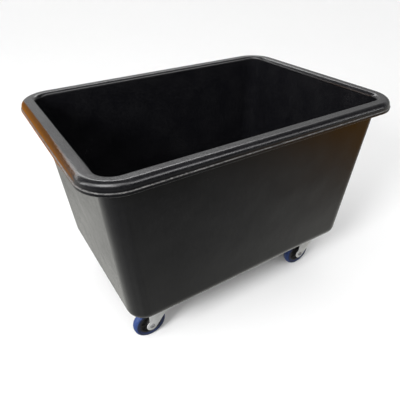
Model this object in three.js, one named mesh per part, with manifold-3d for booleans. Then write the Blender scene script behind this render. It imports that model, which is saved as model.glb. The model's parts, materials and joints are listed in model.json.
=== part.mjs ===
// An open-top moulded polyethylene tub that rolls on four swivel castors.
//
// Millimetres. +Z is up, +X runs along the tub's length towards its front,
// and the origin is on the ground below the middle of the tub.

import * as THREE from 'three';
import { mergeVertices } from 'three/addons/utils/BufferGeometryUtils.js';
import Module from 'manifold-3d';

// ---- Driving dimensions ----------------------------------------------------

// The least gap left between two pieces that touch.
const GAP = 0.3;

// Tub: the rim is the largest outline, and every wall is set in from it.
const RIM_LENGTH = 1148;
const RIM_WIDTH = 820;
const RIM_TOP = 767;
const RIM_CORNER = 116;
const RIM_DEPTH = 34;
const RIM_EDGE_ROUND = 20;
const RIM_FACE_INSET = 3.5;
const RIM_INNER_ROUND = 14;
const LIP_HEIGHT = 9;
const SKIRT_THICKNESS = 5.5;
const WALL = 6;
const OVERHANG = 49;
const END_DRAFT = 42;
const SIDE_DRAFT = 31;
const WALL_CORNER_TOP = 58;
const WALL_CORNER_BOTTOM = 67;
const FLOOR_FILLET = 48;
const TUB_BOTTOM = 161;
const CORNER_STEPS = 7;

// Castors: where their swivel axes stand, and the wheel behind each axis.
const CASTOR_X = 365;
const CASTOR_Y = 240;
const TRAIL = 34;
const WHEEL_RADIUS = 62.5;
const TYRE_BORE = 44;
const TYRE_HALF_WIDTH = 15.5;
const HUB_BORE = 12;
const HUB_HALF_LENGTH = 21;
const CENTRE_STEPS = 20;

// Fork: a pressed channel, closed at the top and open at the bottom.
const FORK_INNER = 24;
const FORK_SHEET = 3;
const FORK_OUTER = FORK_INNER + FORK_SHEET;
const CROWN_TOP = 143;
const CROWN_RADIUS = 38;
const LOBE_RADIUS = 21;

// Top plate, its pressed dish, and the four studs that hold it.
const PLATE_LENGTH = 105;
const PLATE_WIDTH = 80;
const PLATE_SHEET = 3.5;
const PLATE_TOP = TUB_BOTTOM - GAP;
const PLATE_BOTTOM = PLATE_TOP - PLATE_SHEET;
const DISH_RADIUS = 31;
const DISH_SKIRT = 3;
const HOLE_X = 40;
const HOLE_Y = 30;
const HOLE_RADIUS = 4.5;
const STUD_RADIUS = 4;

// Swivel bearing.
const BALL_RADIUS = 3;
const BALL_CIRCLE = 22;
const RACE_STEP = 3.2;
const RACE_RADIUS = 27.2;
const KINGPIN_RADIUS = 6;

const FRONT_REAR = [['front', 1], ['rear', -1]];
const LEFT_RIGHT = [['left', 1], ['right', -1]];

// ---- Finishes ---------------------------------------------------------------

function finish(color, roughness, metalness) {
  return () => new THREE.MeshStandardMaterial({ color, roughness, metalness });
}

const blackPolyethylene = finish(0x2a2a2b, 0.42, 0);
const zincPlate = finish(0xc4c9ca, 0.38, 0.9);
const bearingSteel = finish(0xa9adb0, 0.25, 1);
const blueRubber = finish(0x2f4f9c, 0.6, 0);
const blackNylon = finish(0x191919, 0.5, 0);

// ---- Solid helpers ----------------------------------------------------------

const wasm = await Module();
wasm.setup();

function welded(geometry) {
  const bare = geometry.clone();
  bare.deleteAttribute('normal');
  bare.deleteAttribute('uv');
  return mergeVertices(bare, 1e-4);
}

function toSolid(geometry) {
  const mesh = welded(geometry);
  return new wasm.Manifold(new wasm.Mesh({
    numProp: 3,
    vertProperties: new Float32Array(mesh.attributes.position.array),
    triVerts: new Uint32Array(mesh.index.array),
  }));
}

function toGeometry(solid) {
  const mesh = solid.getMesh();
  const geometry = new THREE.BufferGeometry();
  geometry.setAttribute('position', new THREE.BufferAttribute(mesh.vertProperties, 3));
  geometry.setIndex(new THREE.BufferAttribute(mesh.triVerts, 1));
  geometry.computeVertexNormals();
  return geometry;
}

// Turns a profile of [radius, height] points, run anticlockwise, about Z.
// A profile that leaves the axis is closed on itself.
function turned(profile, steps) {
  const points = profile.map(([radius, height]) => new THREE.Vector2(radius, height));
  if (points[0].x > 0) {
    points.push(points[0].clone());
  }
  return new THREE.LatheGeometry(points, steps).rotateX(Math.PI / 2);
}

// The same, about the wheel's own axle direction Y. Half a step of turn puts
// a flat of the many-sided rim at the bottom.
function turnedAboutAxle(profile, steps) {
  return turned(profile, steps).rotateX(-Math.PI / 2).rotateY(Math.PI / steps);
}

function rod(radius, bottom, top, sides) {
  const length = top - bottom;
  return new THREE.CylinderGeometry(radius, radius, length, sides)
    .rotateX(Math.PI / 2)
    .translate(0, 0, (top + bottom) / 2);
}

function extrudedUp(shape, bottom, top) {
  const options = { depth: top - bottom, bevelEnabled: false, curveSegments: 2 };
  return new THREE.ExtrudeGeometry(shape, options).translate(0, 0, bottom);
}

function roundedRectangle(halfX, halfY, radius) {
  const shape = new THREE.Shape();
  const right = Math.PI / 2;
  shape.absarc(halfX - radius, halfY - radius, radius, 0, right);
  shape.absarc(radius - halfX, halfY - radius, radius, right, 2 * right);
  shape.absarc(radius - halfX, radius - halfY, radius, 2 * right, 3 * right);
  shape.absarc(halfX - radius, radius - halfY, radius, 3 * right, 4 * right);
  return shape;
}

// A many-sided hole for an extruded outline, run clockwise.
function roundHole(x, y, radius, sides) {
  const points = Array.from({ length: sides }, (_, side) => {
    const angle = -side * 2 * Math.PI / sides;
    return new THREE.Vector2(x + radius * Math.cos(angle), y + radius * Math.sin(angle));
  });
  return new THREE.Path(points);
}

function studPoints() {
  const signs = [[1, 1], [-1, 1], [-1, -1], [1, -1]];
  return signs.map(([alongX, alongY]) => [alongX * HOLE_X, alongY * HOLE_Y]);
}

function plateOutline(halfX, halfY, holeRadius) {
  const outline = roundedRectangle(halfX, halfY, 8);
  for (const [x, y] of studPoints()) {
    outline.holes.push(roundHole(x, y, holeRadius, 8));
  }
  return outline;
}

// ---- Tub --------------------------------------------------------------------

// One level of the tub: a rounded rectangle set in from the rim's outline.
function tubLevel(insetX, insetY, radius, z) {
  const centreX = RIM_LENGTH / 2 - insetX - radius;
  const centreY = RIM_WIDTH / 2 - insetY - radius;
  const level = [];
  const corners = [[1, 1], [-1, 1], [-1, -1], [1, -1]];
  corners.forEach(([signX, signY], corner) => {
    for (let step = 0; step <= CORNER_STEPS; step += 1) {
      const angle = (corner + step / CORNER_STEPS) * Math.PI / 2;
      const x = signX * centreX + radius * Math.cos(angle);
      const y = signY * centreY + radius * Math.sin(angle);
      level.push(new THREE.Vector3(x, y, z));
    }
  });
  return level;
}

// Levels of the wall from the floor's edge up to the rim. Both faces of the
// wall share the fillet's centre line, so the wall keeps its thickness.
function wallLevels(thickness) {
  const filletZ = TUB_BOTTOM + FLOOR_FILLET;
  const fillet = FLOOR_FILLET - thickness;
  const centreX = OVERHANG + END_DRAFT + FLOOR_FILLET;
  const centreY = OVERHANG + SIDE_DRAFT + FLOOR_FILLET;
  const cornerAtFillet = WALL_CORNER_BOTTOM - FLOOR_FILLET;
  const levels = [];
  const steps = 5;
  for (let step = 0; step <= steps; step += 1) {
    const angle = (step / steps) * Math.PI / 2;
    const reach = fillet * Math.sin(angle);
    const z = filletZ - fillet * Math.cos(angle);
    levels.push(tubLevel(centreX - reach, centreY - reach, cornerAtFillet + reach, z));
  }
  levels.push(wallTopLevel(OVERHANG + thickness, RIM_TOP - RIM_INNER_ROUND));
  return levels;
}

// The middle of the floor, clear of all four castor plates.
function floorMiddle(z) {
  return tubLevel(RIM_LENGTH / 2 - 300, RIM_WIDTH / 2 - 190, 40, z);
}

function rimRing(inset, z) {
  return tubLevel(inset, inset, RIM_CORNER - inset, z);
}

// The corner of a level follows the wall's top corner, offset outwards.
function wallTopLevel(inset, z) {
  return tubLevel(inset, inset, WALL_CORNER_TOP + OVERHANG - inset, z);
}

// The rim: out along the underside, down the skirt's inner face, round the
// trimmed lip, up the outer face, over the edge round and in across the top.
// The underside follows both rounds, so the rim keeps its thickness.
function rimLevels() {
  const skirtInner = RIM_FACE_INSET + SKIRT_THICKNESS;
  const lipBottom = RIM_TOP - RIM_DEPTH;
  const edge = RIM_FACE_INSET + RIM_EDGE_ROUND;
  const innerEdge = OVERHANG + WALL - RIM_INNER_ROUND;
  const levels = [];
  for (let step = 1; step <= 2; step += 1) {
    const angle = (step / 2) * Math.PI / 2;
    const round = RIM_INNER_ROUND - WALL;
    const z = RIM_TOP - RIM_INNER_ROUND + round * Math.sin(angle);
    levels.push(wallTopLevel(innerEdge + round * Math.cos(angle), z));
  }
  for (let step = 0; step <= 3; step += 1) {
    const angle = (step / 3) * Math.PI / 2;
    const z = RIM_TOP - RIM_EDGE_ROUND + (RIM_EDGE_ROUND - WALL) * Math.cos(angle);
    levels.push(rimRing(edge - (edge - skirtInner) * Math.sin(angle), z));
  }
  levels.push(
    rimRing(skirtInner, lipBottom),
    rimRing(0, lipBottom),
    rimRing(0, lipBottom + LIP_HEIGHT),
    rimRing(RIM_FACE_INSET, lipBottom + LIP_HEIGHT + 2),
  );
  for (let step = 0; step <= 4; step += 1) {
    const angle = (step / 4) * Math.PI / 2;
    const inset = edge - RIM_EDGE_ROUND * Math.cos(angle);
    levels.push(rimRing(inset, RIM_TOP - RIM_EDGE_ROUND * (1 - Math.sin(angle))));
  }
  for (let step = 0; step < 4; step += 1) {
    const angle = (step / 4) * Math.PI / 2;
    const z = RIM_TOP - RIM_INNER_ROUND * (1 - Math.cos(angle));
    levels.push(wallTopLevel(innerEdge + RIM_INNER_ROUND * Math.sin(angle), z));
  }
  return levels;
}

// Joins each level to the next and closes both ends with a flat floor.
function loft(levels) {
  const perLevel = levels[0].length;
  const positions = levels.flat().flatMap((point) => point.toArray());
  const index = [];
  for (let level = 0; level < levels.length - 1; level += 1) {
    for (let i = 0; i < perLevel; i += 1) {
      const next = (i + 1) % perLevel;
      const a = level * perLevel + i;
      const b = level * perLevel + next;
      const c = (level + 1) * perLevel + next;
      const d = (level + 1) * perLevel + i;
      index.push(a, b, c, a, c, d);
    }
  }
  const underCentre = positions.length / 3;
  positions.push(0, 0, levels[0][0].z);
  positions.push(0, 0, levels.at(-1)[0].z);
  const lastLevel = (levels.length - 1) * perLevel;
  for (let i = 0; i < perLevel; i += 1) {
    const next = (i + 1) % perLevel;
    index.push(underCentre, next, i);
    index.push(underCentre + 1, lastLevel + i, lastLevel + next);
  }
  const geometry = new THREE.BufferGeometry();
  geometry.setAttribute('position', new THREE.Float32BufferAttribute(positions, 3));
  geometry.setIndex(index);
  return geometry;
}

// Each castor swivels freely. At rest those on the right trail towards the
// rear and those on the left towards the front, as after turning on the spot.
function castorPlaces() {
  const places = [];
  for (const [end, signX] of FRONT_REAR) {
    for (const [side, signY] of LEFT_RIGHT) {
      const turn = signY > 0 ? Math.PI : 0;
      places.push({ name: `${end}_${side}`, x: signX * CASTOR_X, y: signY * CASTOR_Y, turn });
    }
  }
  return places;
}

function tubShell() {
  const outside = wallLevels(0);
  const inside = wallLevels(WALL).reverse();
  const under = floorMiddle(TUB_BOTTOM);
  const over = floorMiddle(TUB_BOTTOM + WALL);
  let shell = toSolid(loft([under, ...outside, ...rimLevels(), ...inside, over]));
  for (const place of castorPlaces()) {
    for (const [x, y] of studPoints()) {
      const drill = rod(HOLE_RADIUS, TUB_BOTTOM - 5, TUB_BOTTOM + WALL + 5, 8);
      shell = shell.subtract(toSolid(drill.translate(place.x + x, place.y + y, 0)));
    }
  }
  return toGeometry(shell);
}

// A steel plate that lies on the tub's floor above each castor. Its four
// round-headed studs are welded in and reach down through the floor.
function studPlate() {
  const bottom = TUB_BOTTOM + WALL + GAP;
  const top = bottom + PLATE_SHEET;
  let plate = toSolid(extrudedUp(roundedRectangle(55, 40, 8), bottom, top));
  for (const [x, y] of studPoints()) {
    const stud = turned([
      [0, PLATE_BOTTOM - 12],
      [STUD_RADIUS, PLATE_BOTTOM - 12],
      [STUD_RADIUS, top - 1],
      [8.5, top - 1],
      [8.5, top + 1],
      [0, top + 4],
    ], 8);
    plate = plate.add(toSolid(stud.translate(x, y, 0)));
  }
  return toGeometry(plate);
}

// ---- Castor: what is bolted to the tub ---------------------------------------

// A flat plate whose middle is pressed down into a dish. The dish carries the
// upper ball race under it and hides the kingpin's head in its hollow.
function topPlate() {
  const web = CROWN_TOP + RACE_STEP + 2 * BALL_RADIUS + 2 * GAP;
  const sheet = plateOutline(PLATE_LENGTH / 2, PLATE_WIDTH / 2, HOLE_RADIUS);
  const flat = toSolid(extrudedUp(sheet, PLATE_BOTTOM, PLATE_TOP));
  const cut = toSolid(rod(DISH_RADIUS - 1.5, PLATE_BOTTOM - 1, PLATE_TOP + 1, 12));
  const dish = toSolid(turned([
    [KINGPIN_RADIUS + GAP, web],
    [DISH_RADIUS - DISH_SKIRT, web],
    [DISH_RADIUS - DISH_SKIRT, web - 5],
    [DISH_RADIUS, web - 5],
    [DISH_RADIUS, PLATE_TOP],
    [DISH_RADIUS - DISH_SKIRT, PLATE_TOP],
    [DISH_RADIUS - DISH_SKIRT, web + PLATE_SHEET],
    [KINGPIN_RADIUS + GAP, web + PLATE_SHEET],
  ], 12));
  return toGeometry(flat.subtract(cut).add(dish));
}

function kingpin() {
  const seat = CROWN_TOP + RACE_STEP + 2 * BALL_RADIUS + 3 * GAP + PLATE_SHEET;
  return turned([
    [0, 127.5],
    [KINGPIN_RADIUS, 127.5],
    [KINGPIN_RADIUS, seat],
    [12, seat],
    [12, PLATE_TOP - 1.5],
    [10.5, PLATE_TOP - GAP],
    [0, PLATE_TOP - GAP],
  ], 12);
}

function lowerRace() {
  const top = CROWN_TOP - FORK_SHEET - GAP;
  return turned([
    [KINGPIN_RADIUS + GAP, top - 5.5],
    [13, top - 5.5],
    [17, top],
    [KINGPIN_RADIUS + GAP, top],
  ], 12);
}

// A six-sided nut whose hole is a little larger than its bolt.
function hexNut(boltRadius, acrossFlats, bottom, top) {
  const outline = new THREE.Shape();
  outline.setFromPoints(Array.from({ length: 6 }, (_, corner) => {
    const angle = corner * Math.PI / 3;
    const reach = acrossFlats / Math.sqrt(3);
    return new THREE.Vector2(reach * Math.cos(angle), reach * Math.sin(angle));
  }));
  outline.holes.push(roundHole(0, 0, boltRadius + 2 * GAP, 12));
  return extrudedUp(outline, bottom, top);
}

function kingpinNut() {
  const top = CROWN_TOP - FORK_SHEET - 5.5 - 2 * GAP;
  return hexNut(KINGPIN_RADIUS, 19, top - 6, top);
}

// ---- Castor: what swivels ------------------------------------------------------

// The upper race's balls and their cage, as the ring that they sweep.
function ballRing() {
  const z = CROWN_TOP + RACE_STEP + BALL_RADIUS + GAP;
  const sides = 8;
  const section = Array.from({ length: sides }, (_, side) => {
    const angle = (side + 0.5) * 2 * Math.PI / sides;
    const radius = BALL_CIRCLE + BALL_RADIUS * Math.cos(angle);
    return [radius, z + BALL_RADIUS * Math.sin(angle)];
  });
  return turned(section, 12);
}

// The channel's cross-section, square to X: two legs joined by a crown whose
// bends are rounded outside and in.
function forkSection() {
  const bend = 8;
  const inner = bend - FORK_SHEET;
  const foot = WHEEL_RADIUS - LOBE_RADIUS - 5;
  const section = new THREE.Shape();
  section.moveTo(FORK_OUTER, foot);
  section.absarc(FORK_OUTER - bend, CROWN_TOP - bend, bend, 0, Math.PI / 2);
  section.absarc(bend - FORK_OUTER, CROWN_TOP - bend, bend, Math.PI / 2, Math.PI);
  section.lineTo(-FORK_OUTER, foot);
  section.lineTo(-FORK_INNER, foot);
  section.absarc(bend - FORK_OUTER, CROWN_TOP - bend, inner, Math.PI, Math.PI / 2, true);
  section.absarc(FORK_OUTER - bend, CROWN_TOP - bend, inner, Math.PI / 2, 0, true);
  section.lineTo(FORK_INNER, foot);
  return section;
}

// A leg seen from the side: an upright rear edge, a round lobe about the
// axle, and a front edge that leans forward, tangent to the lobe.
function legOutline() {
  const rear = -42;
  const front = 36;
  const lean = Math.atan2(0.79, 0.6126);
  const rearAngle = Math.acos((rear + TRAIL) / LOBE_RADIUS);
  const outline = new THREE.Shape();
  outline.moveTo(-30, CROWN_TOP);
  outline.quadraticCurveTo(rear, CROWN_TOP, rear, CROWN_TOP - 16);
  outline.absarc(-TRAIL, WHEEL_RADIUS, LOBE_RADIUS, rearAngle, lean - Math.PI / 2 + 2 * Math.PI);
  outline.lineTo(front, 118.4);
  outline.lineTo(front, 128);
  outline.quadraticCurveTo(front, CROWN_TOP, 28, CROWN_TOP);
  return outline;
}

function fork() {
  const alongX = { depth: 120, bevelEnabled: false, curveSegments: 2 };
  const channel = toSolid(new THREE.ExtrudeGeometry(forkSection(), alongX)
    .rotateX(Math.PI / 2)
    .rotateZ(Math.PI / 2)
    .translate(-70, 0, 0));
  const alongY = { depth: 80, bevelEnabled: false, curveSegments: 6 };
  const legs = toSolid(new THREE.ExtrudeGeometry(legOutline(), alongY)
    .rotateX(Math.PI / 2)
    .translate(0, 40, 0));
  const crown = toSolid(rod(CROWN_RADIUS, CROWN_TOP - 6, CROWN_TOP + 1, 16));
  const race = toSolid(turned([
    [16, CROWN_TOP - 1],
    [RACE_RADIUS, CROWN_TOP - 1],
    [RACE_RADIUS, CROWN_TOP + RACE_STEP],
    [16, CROWN_TOP + RACE_STEP],
  ], 12));
  const kingpinHole = toSolid(rod(KINGPIN_RADIUS + 1, CROWN_TOP - 20, CROWN_TOP + 20, 8));
  const axleHole = toSolid(new THREE.CylinderGeometry(5.4, 5.4, 80, 8)
    .translate(-TRAIL, 0, 0)
    .translate(0, 0, WHEEL_RADIUS));
  const body = channel.intersect(legs).add(channel.intersect(crown)).add(race);
  return toGeometry(body.subtract(kingpinHole).subtract(axleHole));
}

// Pieces on the axle are turned about Z and then laid along Y, with their
// head end, at low Z, towards -Y.
function alongAxle(geometry) {
  return geometry.rotateX(-Math.PI / 2).translate(-TRAIL, 0, WHEEL_RADIUS);
}

function axleBolt() {
  const face = FORK_OUTER + GAP;
  return alongAxle(turned([
    [0, -face - 5],
    [7.5, -face - 5],
    [9.5, -face - 3],
    [9.5, -face],
    [5, -face],
    [5, face + 10],
    [0, face + 10],
  ], 12));
}

function axleNut() {
  return alongAxle(hexNut(5, 17, FORK_OUTER + GAP, FORK_OUTER + GAP + 8));
}

function axleSleeve() {
  const half = FORK_INNER - GAP;
  return alongAxle(turned([[5.3, -half], [8, -half], [8, half], [5.3, half]], 12));
}

// ---- Castor: what rolls ---------------------------------------------------------

function rollerBearing() {
  const half = HUB_HALF_LENGTH - 1;
  const outer = HUB_BORE - GAP;
  return alongAxle(turned([[8.4, -half], [outer, -half], [outer, half], [8.4, half]], 12));
}

function wheelCentre() {
  const rim = TYRE_BORE - 0.15;
  const profile = [
    [HUB_BORE, -HUB_HALF_LENGTH],
    [19, -HUB_HALF_LENGTH],
    [21.5, -6],
    [36.5, -6],
    [38, -14],
    [rim, -14],
    [rim, 14],
    [38, 14],
    [36.5, 6],
    [21.5, 6],
    [19, HUB_HALF_LENGTH],
    [HUB_BORE, HUB_HALF_LENGTH],
  ];
  return turnedAboutAxle(profile, CENTRE_STEPS).translate(-TRAIL, 0, WHEEL_RADIUS);
}

// The tread's flats touch the wheel's true radius, so its corners stand out a
// little and the tyre rests on a flat.
function tyre() {
  const steps = 28;
  const stretch = 1 / Math.cos(Math.PI / steps);
  const tread = WHEEL_RADIUS * stretch;
  const bore = (TYRE_BORE + 0.15) / Math.cos(Math.PI / steps);
  const profile = [
    [bore, -TYRE_HALF_WIDTH],
    [tread - 6, -TYRE_HALF_WIDTH],
    [tread, -TYRE_HALF_WIDTH + 6],
    [tread, TYRE_HALF_WIDTH - 6],
    [tread - 6, TYRE_HALF_WIDTH],
    [bore, TYRE_HALF_WIDTH],
  ];
  return turnedAboutAxle(profile, steps).translate(-TRAIL, 0, WHEEL_RADIUS);
}

// ---- Assembly ----------------------------------------------------------------------

function piece(name, geometry, material) {
  const mesh = new THREE.Mesh(geometry, material());
  mesh.name = name;
  return mesh;
}

const castorPieces = [
  ['top_plate', topPlate(), zincPlate],
  ['kingpin', kingpin(), zincPlate],
  ['kingpin_nut', kingpinNut(), zincPlate],
  ['lower_race', lowerRace(), bearingSteel],
  ['ball_ring', ballRing(), bearingSteel],
  ['fork', fork(), zincPlate],
  ['axle_bolt', axleBolt(), zincPlate],
  ['axle_nut', axleNut(), zincPlate],
  ['axle_sleeve', axleSleeve(), zincPlate],
  ['roller_bearing', rollerBearing(), bearingSteel],
  ['wheel_centre', wheelCentre(), blackNylon],
  ['tyre', tyre(), blueRubber],
  ['stud_plate', studPlate(), zincPlate],
];

const tote = new THREE.Group();
tote.add(piece('tub_shell', tubShell(), blackPolyethylene));

for (const place of castorPlaces()) {
  const castor = new THREE.Group();
  castor.position.set(place.x, place.y, 0);
  castor.rotation.z = place.turn;
  for (const [name, geometry, material] of castorPieces) {
    castor.add(piece(`${name}_${place.name}`, geometry, material));
  }
  tote.add(castor);
}

export default tote;
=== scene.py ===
"""Looks for the wheeled waste tub: a moulded polyethylene tub on four swivel castors.

Metres, in the row frame: +X along the tub, +Y to its left side, +Z up, the
ground at Z = 0. The joints and the outer sizes come from the frame. The finer
sizes are named here and follow the CAD part.
"""

import json
import math

import bmesh
import bpy
from mathutils import Matrix, Vector, noise

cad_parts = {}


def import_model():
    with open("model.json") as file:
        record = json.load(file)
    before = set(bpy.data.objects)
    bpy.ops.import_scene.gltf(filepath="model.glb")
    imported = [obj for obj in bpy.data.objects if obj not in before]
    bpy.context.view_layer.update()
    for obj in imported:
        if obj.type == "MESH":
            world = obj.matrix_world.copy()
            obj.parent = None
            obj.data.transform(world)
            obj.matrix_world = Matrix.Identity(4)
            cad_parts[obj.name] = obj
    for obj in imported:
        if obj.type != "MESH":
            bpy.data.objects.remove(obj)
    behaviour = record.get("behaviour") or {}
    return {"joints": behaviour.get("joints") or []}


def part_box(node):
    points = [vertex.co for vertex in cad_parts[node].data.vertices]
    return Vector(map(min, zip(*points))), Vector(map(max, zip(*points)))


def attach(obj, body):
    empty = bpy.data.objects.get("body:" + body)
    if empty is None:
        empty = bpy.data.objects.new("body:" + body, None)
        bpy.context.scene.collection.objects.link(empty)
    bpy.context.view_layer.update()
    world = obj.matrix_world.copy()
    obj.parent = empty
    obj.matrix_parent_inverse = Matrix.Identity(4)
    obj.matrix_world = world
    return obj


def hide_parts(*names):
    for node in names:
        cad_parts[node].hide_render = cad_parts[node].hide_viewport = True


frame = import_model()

MM = 0.001
CORNERS = ("front_left", "front_right", "rear_left", "rear_right")
RIGHT_ANGLE = math.pi / 2
FULL_TURN = 2 * math.pi
# Edges that turn by more degrees than this are shaded sharp.
SHARP = 38.0
TUB_SHARP = 50.0


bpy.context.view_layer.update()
joints = {joint["name"]: joint for joint in frame["joints"]}


# ---- Materials ---------------------------------------------------------------


class Nodes:
    """A small hand for wiring the nodes of a material or of the world."""

    def __init__(self, owner, shader, place):
        owner.use_nodes = True
        self.material = owner
        self.tree = owner.node_tree
        self.shader = self.tree.nodes[shader]
        self.place = self.add("ShaderNodeTexCoord").outputs[place]

    def add(self, kind, **values):
        node = self.tree.nodes.new(kind)
        for key, value in values.items():
            setattr(node, key, value)
        return node

    def link(self, source, target):
        self.tree.links.new(source, target)

    def set(self, **values):
        for key, value in values.items():
            self.shader.inputs[key.replace("_", " ")].default_value = value

    def stretched(self, scale):
        node = self.add("ShaderNodeMapping")
        node.inputs["Scale"].default_value = scale
        self.link(self.place, node.inputs["Vector"])
        return node.outputs["Vector"]

    def noise(self, scale, detail, roughness, place=None):
        node = self.add("ShaderNodeTexNoise")
        node.inputs["Scale"].default_value = scale
        node.inputs["Detail"].default_value = detail
        node.inputs["Roughness"].default_value = roughness
        self.link(place or self.place, node.inputs["Vector"])
        return node.outputs["Fac"]

    def cells(self, scale):
        node = self.add("ShaderNodeTexVoronoi")
        node.inputs["Scale"].default_value = scale
        self.link(self.place, node.inputs["Vector"])
        return node.outputs["Distance"]

    def remap(self, value, low, high, to_low, to_high):
        node = self.add("ShaderNodeMapRange", clamp=True)
        for key, number in zip(
            ("From Min", "From Max", "To Min", "To Max"), (low, high, to_low, to_high)
        ):
            node.inputs[key].default_value = number
        self.link(value, node.inputs["Value"])
        return node.outputs["Result"]

    def math(self, operation, first, second):
        node = self.add("ShaderNodeMath", operation=operation)
        for socket, value in zip(node.inputs, (first, second)):
            if isinstance(value, (int, float)):
                socket.default_value = value
            else:
                self.link(value, socket)
        return node.outputs["Value"]

    def mix(self, factor, first, second):
        node = self.add("ShaderNodeMix", data_type="RGBA")
        self.link(factor, node.inputs["Factor"])
        for socket, value in zip((node.inputs[6], node.inputs[7]), (first, second)):
            if isinstance(value, tuple):
                socket.default_value = (*value, 1.0)
            else:
                self.link(value, socket)
        return node.outputs[2]

    def split(self, axis):
        node = self.add("ShaderNodeSeparateXYZ")
        self.link(self.place, node.inputs[0])
        return node.outputs[axis]

    def along(self, direction):
        """How far the place, taken as a direction, points along the one given."""
        node = self.add("ShaderNodeVectorMath", operation="DOT_PRODUCT")
        node.inputs[1].default_value = Vector(direction).normalized()
        self.link(self.place, node.inputs[0])
        return node.outputs["Value"]

    def ramp(self, angle, stops):
        """Looks an angle up in stops of (degrees, value), from 0 to 180 degrees."""
        node = self.add("ShaderNodeValToRGB")
        elements = node.color_ramp.elements
        for _ in stops[2:]:
            elements.new(0.5)
        for element, (degrees, value) in zip(elements, stops):
            element.position = degrees / 180
            element.color = (value / BRIGHTEST,) * 3 + (1.0,)
        self.link(self.math("DIVIDE", angle, math.pi), node.inputs["Fac"])
        return self.math("MULTIPLY", node.outputs["Color"], BRIGHTEST)

    def blend(self, factor, first, second):
        node = self.add("ShaderNodeMix")
        for socket, value in ((0, factor), (2, first), (3, second)):
            self.link(value, node.inputs[socket])
        return node.outputs[0]

    def grey(self, value):
        node = self.add("ShaderNodeCombineColor")
        for socket in node.inputs:
            self.link(value, socket)
        return node.outputs[0]

    def colour(self, socket):
        self.link(socket, self.shader.inputs["Base Color"])

    def rough(self, socket):
        self.link(socket, self.shader.inputs["Roughness"])

    def bump(self, *layers):
        """Stacks (height, distance in metres, strength) layers."""
        normal = None
        for height, distance, strength in layers:
            node = self.add("ShaderNodeBump")
            node.inputs["Distance"].default_value = distance
            node.inputs["Strength"].default_value = strength
            self.link(height, node.inputs["Height"])
            if normal is not None:
                self.link(normal, node.inputs["Normal"])
            normal = node.outputs["Normal"]
        self.link(normal, self.shader.inputs["Normal"])


PLASTIC_IOR = 1.5
NYLON_IOR = 1.53


def material_nodes(name):
    return Nodes(bpy.data.materials.new(name), "Principled BSDF", "Object")


def polyethylene():
    nodes = material_nodes("black_polyethylene")
    nodes.set(IOR=PLASTIC_IOR)
    mottle = nodes.noise(11.0, 4.0, 0.6)
    haze = nodes.remap(mottle, 0.40, 0.62, 0.0, 1.0)
    speckle = nodes.noise(130.0, 5.0, 0.75)
    flecks = nodes.remap(speckle, 0.42, 0.64, 0.0, 1.0)
    plain = nodes.mix(flecks, (0.0034, 0.0034, 0.0044), (0.0066, 0.0066, 0.0079))
    hazy = nodes.mix(flecks, (0.0046, 0.0046, 0.0056), (0.0092, 0.0092, 0.0104))
    nodes.colour(nodes.mix(haze, plain, hazy))
    base = nodes.remap(mottle, 0.3, 0.7, 0.15, 0.22)
    nodes.rough(nodes.math("ADD", base, nodes.math("MULTIPLY", flecks, 0.06)))
    dents = nodes.noise(16.0, 2.0, 0.5)
    peel = nodes.noise(170.0, 3.0, 0.6)
    grain = nodes.noise(1100.0, 1.0, 0.5)
    nodes.bump((dents, 0.0022, 0.25), (peel, 0.0006, 0.30), (grain, 0.0001, 0.30))
    return nodes.material


def edge_whitening_and_highlight():
    # The lighter grey on the lip's top and bottom edges is partly the whitening of the trimmed
    # plastic and partly a painted highlight along these rounded edges.
    nodes = material_nodes("polyethylene_edge_whitening_and_highlight")
    nodes.set(IOR=PLASTIC_IOR)
    chatter = nodes.noise(190.0, 3.0, 0.7, nodes.stretched((1.0, 1.0, 0.3)))
    whitening_and_highlight = nodes.remap(chatter, 0.35, 0.7, 0.0, 1.0)
    nodes.colour(nodes.mix(whitening_and_highlight, (0.014, 0.014, 0.015), (0.190, 0.185, 0.180)))
    nodes.rough(nodes.remap(chatter, 0.3, 0.7, 0.28, 0.46))
    torn = nodes.noise(520.0, 3.0, 0.65)
    nodes.bump((chatter, 0.0008, 0.6), (torn, 0.0004, 0.5))
    return nodes.material


def zinc(name, tone, warm=1.0):
    nodes = material_nodes(name)
    nodes.set(Metallic=0.5, IOR=PLASTIC_IOR)
    spangle = nodes.cells(260.0)
    cloud = nodes.noise(34.0, 4.0, 0.6)
    light = (tone, tone * 1.01, tone * 1.01)
    dull = (tone * 0.74 * warm, tone * 0.75, tone * 0.74)
    patina = nodes.remap(cloud, 0.42, 0.72, 0.0, 0.8)
    nodes.colour(nodes.mix(patina, light, dull))
    drawn = nodes.noise(700.0, 2.0, 0.6, nodes.stretched((0.12, 1.0, 0.12)))
    base = nodes.remap(cloud, 0.3, 0.7, 0.30, 0.46)
    nodes.rough(nodes.math("ADD", base, nodes.math("MULTIPLY", spangle, 0.10)))
    nodes.bump((spangle, 0.0002, 0.12), (drawn, 0.0001, 0.22))
    return nodes.material


def bearing_steel():
    nodes = material_nodes("bearing_steel")
    nodes.set(Metallic=1.0, IOR=PLASTIC_IOR)
    film = nodes.noise(90.0, 3.0, 0.6)
    greased = nodes.remap(film, 0.45, 0.65, 0.0, 1.0)
    nodes.colour(nodes.mix(greased, (0.52, 0.53, 0.54), (0.27, 0.25, 0.21)))
    nodes.rough(nodes.remap(film, 0.3, 0.7, 0.16, 0.34))
    turned = nodes.noise(1400.0, 1.0, 0.5, nodes.stretched((0.1, 0.1, 1.0)))
    nodes.bump((turned, 0.0001, 0.15))
    return nodes.material


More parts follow.
